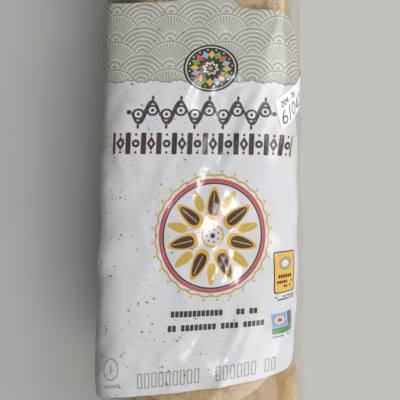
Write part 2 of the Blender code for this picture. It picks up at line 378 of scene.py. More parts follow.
def grid_normals(points):
    """The outward normals of rings of points that run clockwise, seen from the closed end."""
    to_right = np.roll(points, -1, axis=1) - np.roll(points, 1, axis=1)
    return unit(np.cross(to_right, np.gradient(points, axis=0)))


FILM_YS, FILM_POINTS, FILM_LENGTHS = film_grid()


def cubic_weights(part):
    """Catmull-Rom weights of four neighbours, for a place between the middle two."""
    return (
        ((2 - part) * part - 1) * part / 2,
        (part * part * (3 * part - 5) + 2) / 2,
        ((4 - 3 * part) * part + 1) * part / 2,
        (part - 1) * part * part / 2,
    )


def film_at(s, y):
    """Points of the film at distances s across it from the middle of the face, and y along it."""
    row = np.interp(y, FILM_YS, np.arange(len(FILM_YS)))
    column = s / np.interp(y, FILM_YS, FILM_LENGTHS) * FILM_AROUND
    row0, column0 = np.floor(row).astype(int), np.floor(column).astype(int)
    row_weights, column_weights = cubic_weights(row - row0), cubic_weights(column - column0)
    found = 0.0
    for a in range(4):
        rows = np.clip(row0 + a - 1, 0, len(FILM_YS) - 1)
        for b in range(4):
            weight = row_weights[a] * column_weights[b]
            found = found + weight[..., None] * FILM_POINTS[rows, (column0 + b - 1) % FILM_AROUND]
    return found


LIFT_STEP = 0.0009


def lifted(s, y, lift):
    """Points a little off the film, out along its normals."""
    to_right = film_at(s + LIFT_STEP, y) - film_at(s - LIFT_STEP, y)
    to_neck = film_at(s, y + LIFT_STEP) - film_at(s, y - LIFT_STEP)
    return film_at(s, y) + unit(np.cross(to_right, to_neck)) * lift


def add_object(name, data, place=(0.0, 0.0, 0.0)):
    made = bpy.data.objects.new(name, data)
    made.location = place
    scene.collection.objects.link(made)
    return made


def new_piece(name, points, faces, material, **attributes):
    """A smooth mesh piece that rides on the pack."""
    mesh = bpy.data.meshes.new(name)
    mesh.from_pydata([tuple(point) for point in points], [], faces)
    for title, values in attributes.items():
        kind, key = ("FLOAT", "value") if values.ndim == 1 else ("FLOAT_VECTOR", "vector")
        layer = mesh.attributes.new(title, kind, "POINT")
        layer.data.foreach_set(key, values.astype(np.float32).ravel())
    mesh.shade_smooth()
    mesh.materials.append(material)
    piece = add_object(name, mesh)
    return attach(piece, "root") or piece


def grid_faces(rows, columns, closed=False):
    """The faces of a grid of points, counted row by row; closed joins each row's ends."""
    faces = []
    for row in range(rows - 1):
        for column in range(columns if closed else columns - 1):
            after = (column + 1) % columns
            low, high = row * columns, (row + 1) * columns
            faces.append((low + column, low + after, high + after, high + column))
    return faces


def linear(*values):
    """A colour as a screen shows it, from 0 to 255 and not near black, as the shaders take it."""
    return (*(((value / 255 + 0.055) / 1.055) ** 2.4 for value in values), 1.0)


def settle(tree, node, sockets):
    """Gives a node's sockets numbers or colours, or links fields or other sockets to them."""
    for key, value in sockets.items():
        if isinstance(value, Field):
            value = value.socket
        if isinstance(value, bpy.types.NodeSocket):
            tree.links.new(value, node.inputs[key])
        else:
            node.inputs[key].default_value = value
    return node


def add_node(tree, kind, sockets):
    return settle(tree, tree.nodes.new("ShaderNode" + kind), sockets)


class Field:
    """A number that varies over a surface, as a shader socket, with the sums that can be made of it."""

    def __init__(self, tree, socket):
        self.tree, self.socket = tree, socket

    def combined(self, operation, *others, clamp=False):
        node = add_node(self.tree, "Math", dict(enumerate((self, *others))))
        node.operation, node.use_clamp = operation, clamp
        return Field(self.tree, node.outputs[0])

    __add__ = partialmethod(combined, "ADD")
    __sub__ = partialmethod(combined, "SUBTRACT")
    __mul__ = partialmethod(combined, "MULTIPLY")
    higher = partialmethod(combined, "MAXIMUM")
    sine = partialmethod(combined, "SINE")
    size = partialmethod(combined, "ABSOLUTE")
    floored = partialmethod(combined, "FLOOR")
    direction = partialmethod(combined, "ARCTAN2")

    def __neg__(self):
        return self * -1.0

    def __rsub__(self, other):
        return -self + other

    def chance(self):
        """A number from 0 to 1 that whole numbers scatter over."""
        return ((self * 12.9898 + 4.1).sine() * 437.585).combined("FRACT")

    def wrapped(self, length):
        """The distance from the nearest multiple of a length."""
        return (self * (1 / length)).combined("PINGPONG", 0.5) * length

    def centred(self, length):
        """The same, below 0 on the lower side."""
        return self - (self * (1 / length) + 0.5).floored() * length

    def odd(self):
        """1 where a whole number is odd, 0 where it is even."""
        return (self * 0.5).combined("FRACT") * 2.0

    def choose(self, chosen, other):
        """One field where this one is 1, another where it is 0."""
        return chosen * self + other * (1 - self)

    def ramp(self, start, gain):
        """What the number is past a start, times a gain, kept from 0 to 1."""
        return (self - start).combined("MULTIPLY", gain, clamp=True)

    def beyond(self, edge, softness=0.12):
        """0 where the number is under an edge, 1 over it."""
        return self.ramp(edge - softness / 2, 1 / softness)

    def within(self, edge, softness=0.12):
        """1 where the number is under an edge, 0 over it."""
        return (-self).beyond(-edge, softness)

    def near(self, place, reach):
        """1 where the number is near a place."""
        return (self - place).size().within(reach)


def distance(x, y):
    """How far a place is from the origin of two fields."""
    return (x * x + y * y).combined("SQRT")


def ring_of_dots(d, angle, radius, count, size):
    """Round dots in a ring, over a distance and an angle."""
    pitch = math.tau / count
    return distance((angle + pitch / 2).wrapped(pitch) * d, d - radius).within(size)


def noise_over(tree, place, scale, detail=2.0, roughness=0.5):
    """Smooth noise from 0 to 1 over a place's vector."""
    sockets = {"Vector": place, "Scale": scale, "Detail": detail, "Roughness": roughness}
    return Field(tree, add_node(tree, "TexNoise", sockets).outputs["Fac"])


def add_relief(tree, shader, height, strength, depth, plugs=("Normal",)):
    """Fine relief in a surface, from a field."""
    bump = add_node(tree, "Bump", {"Height": height, "Strength": strength, "Distance": depth})
    settle(tree, shader, {plug: bump.outputs[0] for plug in plugs})


def mixed(tree, amount, under, over):
    """Two shaders mixed by an amount."""
    return add_node(tree, "MixShader", {0: amount, 1: under, 2: over}).outputs[0]


def laid(tree, amount, under, over):
    """One colour over another by an amount; a colour is a tuple or a socket."""
    mix = tree.nodes.new("ShaderNodeMix")
    mix.data_type = "RGBA"
    return settle(tree, mix, {"Factor": amount, 6: under, 7: over}).outputs[2]


def blank_material(name, colour, roughness):
    """A new material, its node tree and its shader."""
    material = bpy.data.materials.new(name)
    material.use_nodes = True
    tree = material.node_tree
    shader = tree.nodes["Principled BSDF"]
    return material, tree, settle(tree, shader, {"Base Color": colour, "Roughness": roughness})


FILM_GLOSS_ROUGHNESS = 0.15
FILM_HAZE = 0.025
FILM_MIRRORS = 0.04  # share that a thin film mirrors face on; at a slant it grows to 1


def clear_film_material(name="clear_film", haze=FILM_HAZE):
    """Thin clear plastic: see-through face on, glossy at a slant, with a trace of warm haze."""
    material, tree, shader = blank_material(name, linear(236, 228, 214), 0.5)
    clear = add_node(tree, "BsdfTransparent", {"Color": (0.97, 0.97, 0.965, 1.0)})
    gloss = add_node(tree, "BsdfGlossy", {"Color": (1.0, 1.0, 1.0, 1.0), "Roughness": FILM_GLOSS_ROUGHNESS})
    slant = Field(tree, add_node(tree, "LayerWeight", {}).outputs["Facing"]).combined("POWER", 5.0)
    mirrored = slant * (1 - FILM_MIRRORS) + FILM_MIRRORS
    seen = mixed(tree, mirrored, clear.outputs[0], gloss.outputs[0])
    hazy = mixed(tree, haze, seen, shader.outputs[0])
    settle(tree, tree.nodes["Material Output"], {"Surface": hazy})
    return material


def make_film():
    """The bag's clear film, with a cap over its blunt closed end."""
    faces = grid_faces(len(FILM_YS), FILM_AROUND, closed=True) + [tuple(range(FILM_AROUND))[::-1]]
    film = new_piece("clear_film", FILM_POINTS.reshape(-1, 3), faces, clear_film_material())
    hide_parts("bag")


class Print:
    """The printed colours of the front, laid over each other, on fields of millimetres."""

    def __init__(self, tree, art, ground):
        self.tree, self.art, self.colour = tree, art, ground
        split = add_node(tree, "SeparateXYZ", {0: art})
        self.x, self.y = Field(tree, split.outputs[0]), Field(tree, split.outputs[1])

    def lay(self, mask, colour):
        self.colour = laid(self.tree, mask, self.colour, colour)

    def at(self, middle, degrees=0.0, stretch=1.0):
        """Fields measured from a middle and turned, with the second one stretched."""
        x, y = self.x - middle[0], self.y - middle[1]
        c, n = math.cos(math.radians(degrees)), math.sin(math.radians(degrees))
        return x * c + y * n, (y * c - x * n) * stretch

    def noise(self, *character):
        return noise_over(self.tree, self.art, *character)


def block(x, y, half_width, half_height, corner):
    """1 inside a rectangle with round corners."""
    past_x = (x.size() - (half_width - corner)).higher(0.0)
    past_y = (y.size() - (half_height - corner)).higher(0.0)
    return distance(past_x, past_y).within(corner)


def block_row(x, y, half_length, half_width, half_height, pitch, gaps, seed, hollow=0.0):
    """A row of round-cornered blocks, one to each pitch, some left out by chance."""
    cell = (x * (1 / pitch)).floored()
    inside = x - (cell + 0.5) * pitch
    row = block(inside, y, half_width, half_height, 0.4 * half_width)
    if hollow:
        core = block(inside, y, half_width - hollow, half_height - hollow, 0.3 * half_width)
        row = row * (1 - core)
    kept = ((cell + seed).chance() - gaps).combined("GREATER_THAN", 0.0)
    return row * kept * ((cell + 0.5) * pitch).size().within(half_length, 0.01)


WHITE, WARM_WHITE = linear(212, 214, 217), linear(207, 204, 197)
GREY_GREEN, PALE_GREEN = linear(131, 132, 113), linear(197, 197, 188)
BLACK_INK, BROWN_INK, TEXT_INK = linear(36, 38, 38), linear(66, 48, 46), linear(58, 50, 48)
GOLD, OCHRE, OLIVE_GOLD = linear(219, 168, 52), linear(228, 182, 74), linear(188, 166, 70)
RED_INK, RUST, SAGE = linear(196, 78, 76), linear(196, 92, 52), linear(120, 158, 74)
CREAM, OLIVE_GREY = linear(226, 218, 196), linear(158, 156, 142)
BLUE, VIOLET, GREEN = linear(142, 168, 204), linear(112, 96, 142), linear(92, 142, 88)
SPECK = linear(74, 66, 58)

BAND_BOTTOM = 61.0
SCALE_RADIUS, SCALE_RINGS = 13.0, 6.5


def lay_band(art):
    """The patterned band: rows of overlapping scales, ringed and rayed by turns, in grey-green."""
    x, y = art.x, art.y
    wavy = (x * 0.55).sine() * 0.5 + (x * 1.7 + 1.0).sine() * 0.25
    band = (y - wavy).beyond(BAND_BOTTOM, 0.5)
    spacing = SCALE_RADIUS / 2
    row = ((y - BAND_BOTTOM) * (1 / spacing)).floored()
    near_v = (y - BAND_BOTTOM) - row * spacing
    far_v = near_v + spacing
    near_x = x - row.odd() * SCALE_RADIUS
    near_u, far_u = near_x.centred(2 * SCALE_RADIUS), (near_x + SCALE_RADIUS).centred(2 * SCALE_RADIUS)
    far_d = distance(far_u, far_v)
    in_far = far_d.combined("LESS_THAN", SCALE_RADIUS)
    d = in_far.choose(far_d, distance(near_u, near_v))
    angle = in_far.choose(far_v, near_v).direction(in_far.choose(far_u, near_u))
    wobble = (angle * 9.0 + d).sine() * 0.10
    rings = (d + wobble).wrapped(SCALE_RADIUS / SCALE_RINGS).within(0.52, 0.3)
    rays = (angle * (22 / math.pi)).wrapped(1.0).within(0.24, 0.16) * d.beyond(4.4) * d.within(11.2)
    rays = rays.higher(d.near(2.9, 0.45)).higher(d.within(1.1)).higher(d.near(12.2, 0.4))
    lines = (row - in_far).odd().choose(rays, rings)
    tone = art.noise(0.09).ramp(0.42, 2.2)
    art.lay(band * (tone * 0.45 + 0.25), GREY_GREEN)
    art.lay(band * (1 - lines) * 0.62, PALE_GREEN)
    art.lay(band * lines * 0.72, GREY_GREEN)
    art.lay((y - wavy).near(BAND_BOTTOM, 0.4) * 0.8, GREY_GREEN)


BADGE, BADGE_HALF = (6.5, 67.0), (12.9, 11.1)


def lay_badge(art):
    """A dark oval badge with a cream line, and a wreath of lozenges and dots round a star."""
    x, y = art.at(BADGE, -2.0, BADGE_HALF[0] / BADGE_HALF[1])
    d, angle = distance(x, y), y.direction(x)
    art.lay(d.within(BADGE_HALF[0], 0.15), BLACK_INK)
    art.lay(d.near(11.6, 0.24), CREAM)
    for turn, colour in enumerate((GOLD, SAGE, RUST, BLUE)):
        spoke = (angle + turn * math.pi / 8).wrapped(math.pi / 2)
        petal = (spoke * d * 0.55).size() + (d - 7.6).size() * 0.42
        art.lay(petal.within(0.95), colour)
    art.lay(ring_of_dots(d, angle, 10.1, 16, 0.36), CREAM)
    star = d + (angle * 8.0).sine() * 0.55
    art.lay(star.within(3.3), CREAM)
    art.lay(star.within(2.4), BLACK_INK)
    art.lay(d.within(0.9), GOLD)


SCROLL_MIDDLE, SCROLL_HALF_LENGTH, SCROLL_WAVE, SCROLL_HEIGHT = (3.2, 46.2), 33.2, 13.3, 4.9


def lay_scroll(art):
    """A running scroll in brown, that swells and thins, with a curl and a berry in every bend."""
    x, y = art.at(SCROLL_MIDDLE, -0.4)
    rate = math.tau / SCROLL_WAVE
    wave, slope = (x * rate).sine() * SCROLL_HEIGHT, (x * rate + math.pi / 2).sine()
    climb = slope * (SCROLL_HEIGHT * rate)
    off = (y - wave).size().combined("DIVIDE", (climb * climb + 1.0).combined("SQRT"))
    line = (off - slope * 0.30).within(0.72)
    worn = art.noise(0.9, 3.0, 0.7).ramp(0.60, 9.0) * off.within(0.34, 0.3)
    for way in (1, -1):
        bend = (x - way * SCROLL_WAVE / 4).wrapped(SCROLL_WAVE)
        d = distance(bend, y - way * 0.9)
        leaf = distance(bend * 1.6, (y - way * 6.7) * 0.9).within(1.05)
        line = line.higher((d - bend * 0.12).near(2.1, 0.48)).higher(d.within(0.75)).higher(leaf)
    line = line * x.size().within(SCROLL_HALF_LENGTH)
    line = line.higher(distance(x.size() - (SCROLL_HALF_LENGTH + 1.2), y).within(1.1))
    art.lay(line * (1 - worn * 0.75), BROWN_INK)


FRIEZE_MIDDLE, FRIEZE_HALF_LENGTH, FRIEZE_HALF_HEIGHT, FRIEZE_PITCH = (5.2, 31.6), 43.5, 5.1, 14.5


def lay_frieze(art):
    """The bold row under the scroll: upright bars with lozenges and discs between them."""
    x, y = art.at(FRIEZE_MIDDLE, -0.3)
    bar = block(x.wrapped(FRIEZE_PITCH / 2), y, 1.25, FRIEZE_HALF_HEIGHT, 0.5)
    lozenge = (x - FRIEZE_PITCH / 4).wrapped(FRIEZE_PITCH)
    diamond = lozenge + y.size() * 0.62
    disc = distance((x + FRIEZE_PITCH / 4).wrapped(FRIEZE_PITCH), y)
    shapes = bar.higher(diamond.within(2.15)).higher(disc.within(1.9))
    hole = diamond.within(0.75).higher(disc.within(0.65))
    dots = distance((x - FRIEZE_PITCH / 4).wrapped(FRIEZE_PITCH / 2), y.size() - 4.2).within(0.62)
    mark = (shapes * (1 - hole)).higher(dots) * x.size().within(FRIEZE_HALF_LENGTH)
    grain = art.noise(1.6, 2.0, 0.8).ramp(0.72, 8.0)
    art.lay(mark * (1 - grain * 0.6), BROWN_INK)


ROSETTE, ROSETTE_HALF = (10.3, -11.6), (27.8, 29.5)
ROSETTE_PETALS = 7


def lay_rosette(art):
    """A round ornament: a scalloped gold edge, rings of red and brown, and petals round a dotted eye."""
    x, y = art.at(ROSETTE, 0.0, ROSETTE_HALF[0] / ROSETTE_HALF[1])
    d, angle = distance(x, y), y.direction(x)
    scallop = (angle * 14.0).sine()
    art.lay((d - scallop.size() * 0.75).near(26.4, 0.42), OLIVE_GOLD)
    art.lay(ring_of_dots(d, angle, 28.6, 28, 0.62), GOLD)
    art.lay(d.near(24.6, 0.78), RED_INK)
    art.lay(d.near(23.3, 0.42), BROWN_INK)
    step = math.pi / ROSETTE_PETALS
    petals = ((0.0, 14.4, BROWN_INK, 6.0, 2.7), (step, 17.0, OLIVE_GOLD, 4.1, 1.7))
    for turn, middle, fill, reach, width in petals:
        across = (angle - math.pi / 2 + turn).wrapped(2 * step).sine() * d
        along = d - middle
        pointed = across * (along * 0.05 + 1.0)
        oval = distance(pointed * (1 / width), along * (1 / reach))
        art.lay(oval.within(1.22, 0.05), GOLD)
        art.lay(oval.within(0.93, 0.05), fill)
        art.lay(across.within(0.2) * oval.within(0.78, 0.05), GOLD)
    art.lay(d.within(5.3), GOLD)
    art.lay((d + scallop * 0.25).within(4.3), WHITE)
    art.lay(ring_of_dots(d, angle, 2.9, ROSETTE_PETALS, 0.52), RED_INK)
    art.lay(d.within(1.15), BROWN_INK)


def lay_small_rows(art):
    """Two rows of small blocks below the rosette."""
    rows = (((12.3, -47.9), 21.3, 2.05, 0.16, 3.0), ((11.4, -54.3), 27.0, 2.08, 0.17, 18.0))
    for middle, length, *row in rows:
        art.lay(block_row(*art.at(middle), length, 0.86, 1.42, *row), TEXT_INK)


def lay_stamp(art):
    """An ochre field with a plain dark border and short bars, on the right shoulder."""
    x, y = art.at((47.2, -29.9), 3.0)
    art.lay(block(x, y, 6.9, 10.5, 1.0), TEXT_INK)
    art.lay(block(x, y, 6.2, 9.9, 0.8), OCHRE)
    disc = distance(x * 0.8, y - 4.6)
    art.lay(disc.within(3.2), OLIVE_GREY)
    art.lay(disc.within(1.7), CREAM)
    for drop, *row in (
        (1.6, 4.6, 0.62, 0.95, 1.5, 0.0, 2.0),
        (4.6, 5.0, 0.55, 0.75, 1.3, 0.12, 5.0),
        (7.0, 4.0, 0.55, 0.65, 1.3, 0.12, 9.0),
        (12.4, 6.2, 0.4, 0.42, 0.95, 0.15, 11.0),
        (13.9, 6.2, 0.4, 0.42, 0.95, 0.15, 17.0),
    ):
        art.lay(block_row(x, y + drop, *row), TEXT_INK)


def lay_fields(art):
    """A small square of plain blue, violet and green fields below it."""
    x, y = art.at((45.4, -55.6), 5.0)
    fields = ((-2.6, 1.7, 3.2, 3.5, BLUE), (3.4, 1.7, 2.4, 3.5, VIOLET), (0.0, -3.6, 5.9, 1.6, GREEN))
    for over, up, wide, high, colour in fields:
        art.lay(block(x - over, y - up, wide, high, 0.3), colour)
    disc = distance(x + 2.6, y - 1.7)
    art.lay(disc.within(1.9), CREAM)
    art.lay(disc.within(1.1), RUST)
    art.lay(block_row(x, y + 6.6, 5.6, 0.4, 0.42, 0.95, 0.1, 7.0), GREEN)


def lay_bottom_row(art):
    """Tall thin blocks in olive grey along the bottom edge, and a plain outline at its left."""
    x, y = art.at((10.2, -76.8))
    art.lay(block_row(x, y, 34.0, 1.25, 3.5, 3.35, 0.14, 31.0, hollow=0.62), OLIVE_GREY)
    x, y = art.at((-35.4, -70.8), 4.0)
    art.lay(distance(x * 1.35, y).near(4.6, 0.42), OLIVE_GREY)
    art.lay((x * 1.35).size().within(0.5) * y.size().within(2.0), OLIVE_GREY)
    art.lay(block_row(x, y + 7.6, 4.2, 0.5, 0.8, 1.25, 0.0, 4.0), OLIVE_GREY)


def speckle(art, scale, stretch, size, share, cluster):
    """Small marks, one to some cells of a scattered pattern."""
    tree, sheared = art.tree, art.x * (scale * stretch) + art.y * (scale * 0.4)
    place = add_node(tree, "CombineXYZ", {0: sheared, 1: art.y * scale})
    cells = add_node(tree, "TexVoronoi", {"Vector": place.outputs[0], "Scale": 1.0})
    split = add_node(tree, "SeparateColor", {0: cells.outputs["Color"]})
    pick, big = Field(tree, split.outputs[0]), Field(tree, split.outputs[1])
    marks = (Field(tree, cells.outputs["Distance"]) - big * size).within(0.0, 0.10)
    return marks * pick.beyond(1 - cluster * share, 0.02)


def lay_specks(art):
    """Flour and bran specks on the ink's back and small scuffs, thickest on the left."""
    left = (art.x * -0.020 + art.y * -0.004 + 0.42).ramp(0.0, 1.0)
    patchy = art.noise(0.060, 3.0).ramp(0.42, 4.2)
    cluster = left * patchy
    kinds = ((0.8, 0.62, 0.8, 0.34, 0.50), (0.55, 1.25, 0.6, 0.42, 0.30), (0.85, 0.30, 2.1, 0.17, 0.75))
    for strength, *kind in kinds:
        art.lay(speckle(art, *kind, cluster) * strength, SPECK)
    art.lay(speckle(art, 0.22, 0.5, 0.075, 0.5, patchy * 0.4 + 0.05) * 0.8, SPECK)


def layer_group(lay):
    """A node group that lays one layer of the print over a colour."""
    group = bpy.data.node_groups.new(lay.__name__, "ShaderNodeTree")
    sockets = (("Art", "INPUT", "Vector"), ("Colour", "INPUT", "Color"), ("Colour", "OUTPUT", "Color"))
    for title, way, kind in sockets:
        group.interface.new_socket(title, in_out=way, socket_type="NodeSocket" + kind)
    entry, leave = group.nodes.new("NodeGroupInput"), group.nodes.new("NodeGroupOutput")
    art = Print(group, entry.outputs["Art"], entry.outputs["Colour"])
    lay(art)
    group.links.new(art.colour, leave.inputs["Colour"])
    return group


# Painted shade: a warm brown laid over the white ink along the left side, darkest at the edge, for the film
# turning away from the light
PAINTED_LEFT_SHADE = linear(138, 122, 100)
LEFT_SHADE_FROM, LEFT_SHADE_REACH = 31.0, 19.0


def lay_ground(art):
    """Warm and cool patches in the white ink, and painted shade in warm brown along the left side, where the
    film turns away from the light.
    """
    art.lay(art.noise(0.045, 3.0).ramp(0.47, 3.0) * 0.8, WARM_WHITE)
    near_left = art.x.ramp(-LEFT_SHADE_FROM, -1 / LEFT_SHADE_REACH)
    beyond_middle = (art.y + 4.0).size().beyond(26.0, 16.0)
    # Painted shade along the left side, patchy, and kept away from the middle of the pack's length
    art.lay(near_left * beyond_middle * (art.noise(0.12, 3.0) * 0.5 + 0.55), PAINTED_LEFT_SHADE)


LAYERS = (
    lay_ground, lay_band, lay_scroll, lay_frieze, lay_badge, lay_rosette,
    lay_small_rows, lay_stamp, lay_fields, lay_bottom_row, lay_specks,
)


def printed_film_material():
    """White ink with the printed colours, under glossy film."""
    material, tree, shader = blank_material("printed_film", WHITE, 0.5)
    place = tree.nodes.new("ShaderNodeAttribute")
    place.attribute_name = "art"
    art, colour = place.outputs["Vector"], WHITE
    for lay in LAYERS:
        layer = tree.nodes.new("ShaderNodeGroup")
        layer.node_tree = layer_group(lay)
        settle(tree, layer, {"Art": art, "Colour": colour})
        colour = layer.outputs["Colour"]
    settle(tree, shader, {"Base Color": colour, "Coat Weight": 0.6, "Coat Roughness": 0.06})
    add_relief(tree, shader, noise_over(tree, art, 0.55, 5.0, 0.62), 0.35, 0.00014, ("Normal", "Coat Normal"))
    return material


# The printed front, across the film and along it; the two edges are in millimetres
PRINT_LEFT = -0.066
PRINT_RIGHT_START = 0.056  # where the right edge is taken to be before it is followed
PRINT_WIDTH = 0.12
PRINT_TOP_EDGE = (
    (-66, 98.5), (-50, 99.5), (-37, 97.8), (-15, 98.4), (-9.5, 99), (-5.5, 103), (3.5, 105),
    (12.5, 103), (16.5, 99), (18.5, 95.7), (27, 95.2), (60, 94),
)
PRINT_RIGHT_EDGE = (
    (-90, 55), (-75.5, 55.7), (-55, 58.1), (-38, 59.4), (-15, 60.5), (14, 60), (36, 55.6),
    (45, 51.4), (66, 53.5), (80, 51.5), (100, 49),
)
PRINT_BOTTOM, PRINT_BOTTOM_LEFT = -0.0891, -0.040
PRINT_CORNERS = (0.006, 0.013)  # of the bottom right and the top right corner
PRINT_LIFT = 0.00008
PRINT_CELLS = (216, 300)
CROWDED = 1.12  # how much closer its points are on the right side
SKEW_MIDDLE = 0.010
SKEW_FROM, SKEW_FULL = -0.030, -0.088


def bottom_rise(s):
    """How far the print's bottom edge has climbed, at s across the film."""
    past = np.maximum(s - PRINT_BOTTOM_LEFT, 0.0)
    return 0.075 * past + 0.68 * past * past


def along_edge(place, edge):
    """A smooth edge through a few places."""
    at, value = np.array(edge).T / 1000
    found = sum(np.interp(place + step, at, value) for step in (-0.0021, -0.0007, 0.0007, 0.0021))
    return found / 4


def rounded_edge(share_left, corner):
    """How far an edge is drawn in near a round corner, this far from the side."""
    past = np.clip(1 - share_left / corner, 0, 1)
    return corner * (1 - np.sqrt(1 - past * past))


def make_printed_front(material):
    """The printed patch just off the film, with the artwork's coordinates in millimetres."""
    columns, rows = PRINT_CELLS
    across, along = np.meshgrid(np.linspace(0, 1, columns + 1), np.linspace(0, 1, rows + 1))
    across = 1 - (1 - across) ** CROWDED
    s = PRINT_LEFT + (PRINT_RIGHT_START - PRINT_LEFT) * across
    for _ in range(3):
        to_side = (1 - across) * PRINT_WIDTH
        bottom = PRINT_BOTTOM + bottom_rise(s) + rounded_edge(to_side, PRINT_CORNERS[0])
        top = along_edge(s, PRINT_TOP_EDGE) - rounded_edge(to_side, PRINT_CORNERS[1])
        y = bottom + (top - bottom) * along
        s = PRINT_LEFT + (along_edge(y, PRINT_RIGHT_EDGE) - PRINT_LEFT) * across
    points = lifted(s, y, PRINT_LIFT).reshape(-1, 3)
    skewed = np.clip((SKEW_FROM - y) / (SKEW_FROM - SKEW_FULL), 0, 1)
    skew = (bottom_rise(s) - bottom_rise(SKEW_MIDDLE)) * skewed
    art = np.stack([s, y - skew, 0 * s], axis=-1).reshape(-1, 3) * 1000
    front = new_piece("printed_front", points, grid_faces(rows + 1, columns + 1), material, art=art)


MUFFIN_AROUND, MUFFIN_ROWS = 176, 84
MUFFIN_MAX_RISE = 0.0002
SPLIT_DEPTH, SPLIT_HALF_WIDTH, HOLLOW_DEPTH = 0.0005, 0.0007, 0.0005


def muffin_profile():
    """The muffin's outline, evenly spaced between the middles of its top and its underside."""
    angle = np.linspace(math.pi / 2, -math.pi / 2, 2001)
    out = BAKED_RADIUS * np.cos(angle) ** (2 / MUFFIN_POWER)
    up = BAKED_THICKNESS / 2 * signed_power(np.sin(angle), 2 / MUFFIN_POWER)
    return spaced(np.stack([out, up], axis=-1), np.linspace(0, 1, MUFFIN_ROWS + 2)[1:-1])[0]


def make_muffin(name, middle, tilt, turn, seed, material):
    """One muffin: browned, slightly hollow faces, a pale round side, and the split line round it."""
    half = BAKED_THICKNESS / 2
    place = Vector(middle)
    spin = Euler((tilt, 0.0, 0.0)).to_matrix() @ Euler((0.0, 0.0, turn)).to_matrix()
    offset = Vector((seed * 3.1, seed * 1.7, seed * 0.9))
    points, browned = [], []

    def add(radius, angle, height):
        flat = Vector((radius * math.cos(angle), radius * math.sin(angle), height))
        cell = flat * 100 + offset
        face = abs(height) / half
        at_side = ease(face, 0.9, 0.55)
        uneven = noise.noise(flat * 32 + offset) * 0.0011
        crumb = noise.noise(cell * 1.7) * 0.00042 + noise.noise(cell * 4.3) * 0.00018
        pore = max(noise.noise(cell * 6.1) - 0.28, 0.0) * -0.0016 * (0.35 + at_side)
        split = -SPLIT_DEPTH * at_side * math.exp(-((height / SPLIT_HALF_WIDTH) ** 2))
        split *= 0.6 + 0.4 * math.sin(angle * 95)
        hollow = -HOLLOW_DEPTH * ease(face, 0.9) * (1 - (radius / BAKED_RADIUS) ** 2)
        outward, upward = Vector((flat.x, flat.y, 0)).normalized(), Vector((0, 0, math.copysign(1, height)))
        push = outward * at_side + upward * (1 - at_side)
        rise = min(uneven + crumb + pore + split + hollow - 0.0006, MUFFIN_MAX_RISE)
        points.append(spin @ (flat + push * rise) + place)
        rim = ease(radius / BAKED_RADIUS, 0.72, 0.92)
        patch = noise.noise(flat * 55 + offset * 2) * 0.5 + noise.noise(flat * 150 + offset) * 0.25
        browned.append(float(np.clip(ease(face, 0.62, 0.92) * (0.86 + patch - 0.35 * rim), 0, 1)))

    add(0.0, 0.0, half)
    for radius, height in muffin_profile():
        for step in range(MUFFIN_AROUND):
            add(radius, math.tau * step / MUFFIN_AROUND, height)
    add(0.0, 0.0, -half)
    rings = grid_faces(MUFFIN_ROWS, MUFFIN_AROUND, closed=True)
    faces = [tuple(1 + index for index in face[::-1]) for face in rings]
    last = 1 + (MUFFIN_ROWS - 1) * MUFFIN_AROUND
    for step in range(MUFFIN_AROUND):
        after = (step + 1) % MUFFIN_AROUND
        faces.append((0, 1 + step, 1 + after))
        faces.append((last + MUFFIN_AROUND, last + after, last + step))
    piece = new_piece(name, points, faces, material, browned=np.array(browned))
    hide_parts("bag")


PALE_CRUST, TOASTED, DEEP_TOAST = linear(213, 186, 143), linear(190, 153, 102), linear(156, 114, 68)
BRAN, FLOUR = linear(94, 66, 39), linear(214, 196, 164)


def muffin_material():
    """Whole wheat crust: toasted faces with flour and bran, over a pale side."""
    material, tree, shader = blank_material("muffin_crust", linear(190, 150, 100), 0.85)
    place = tree.nodes.new("ShaderNodeTexCoord").outputs["Object"]
    browned = tree.nodes.new("ShaderNodeAttribute")
    browned.attribute_name = "browned"

    def mottle(scale, detail=3.0, roughness=0.6):
        return noise_over(tree, place, scale, detail, roughness)

    toast = Field(tree, browned.outputs["Fac"]) + (mottle(220) - 0.5) * 0.5
    colour = laid(tree, toast.ramp(0.0, 1.0), PALE_CRUST, TOASTED)
    for scale, edge, share in ((34, 0.52, 0.55), (90, 0.54, 0.85), (310, 0.57, 0.80)):
        colour = laid(tree, mottle(scale, 4.0).ramp(edge, 4.5) * share, colour, DEEP_TOAST)
    colour = laid(tree, mottle(1500, 1.0).ramp(0.66, 9.0), colour, BRAN)
    flour = (mottle(420, 5.0, 0.75) + mottle(60) * 0.5).ramp(0.86, 6.0)
    colour = laid(tree, flour * 0.62, colour, FLOUR)
    add_relief(tree, shader, mottle(900, 4.0) + mottle(330) * 1.8, 0.8, 0.0009)
    settle(tree, shader, {"Base Color": colour, "Subsurface Weight": 0.06})
    settle(tree, shader, {"Subsurface Radius": (0.003, 0.002, 0.001)})
    return material


# The paper date label, in metres along the film
LABEL_ACROSS, LABEL_ALONG = 0.0535, 0.0565
LABEL_LENGTH, LABEL_WIDTH = 0.0365, 0.0136
LABEL_CELLS = (108, 42)
LABEL_TURN, LABEL_UPRIGHT = math.radians(38), math.radians(104)
LABEL_LIFT, DIGIT_LIFT = 0.00035, 0.00005


def label_place(length, width):
    """Film coordinates of a place on the date label, from its middle."""
    s = LABEL_ACROSS + length * math.cos(LABEL_TURN) + width * math.cos(LABEL_UPRIGHT)
    return s, LABEL_ALONG + length * math.sin(LABEL_TURN) + width * math.sin(LABEL_UPRIGHT)


def make_date_label(material):
    """The paper label, that follows the film's shoulder."""
    columns, rows = LABEL_CELLS
    along, over = np.meshgrid(np.linspace(-0.5, 0.5, columns + 1), np.linspace(-0.5, 0.5, rows + 1))
    s, y = label_place(along * LABEL_LENGTH, over * LABEL_WIDTH)
    points = lifted(s, y, LABEL_LIFT).reshape(-1, 3)
    label = new_piece("date_label_paper", points, grid_faces(rows + 1, columns + 1), material)
    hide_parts("date_label")


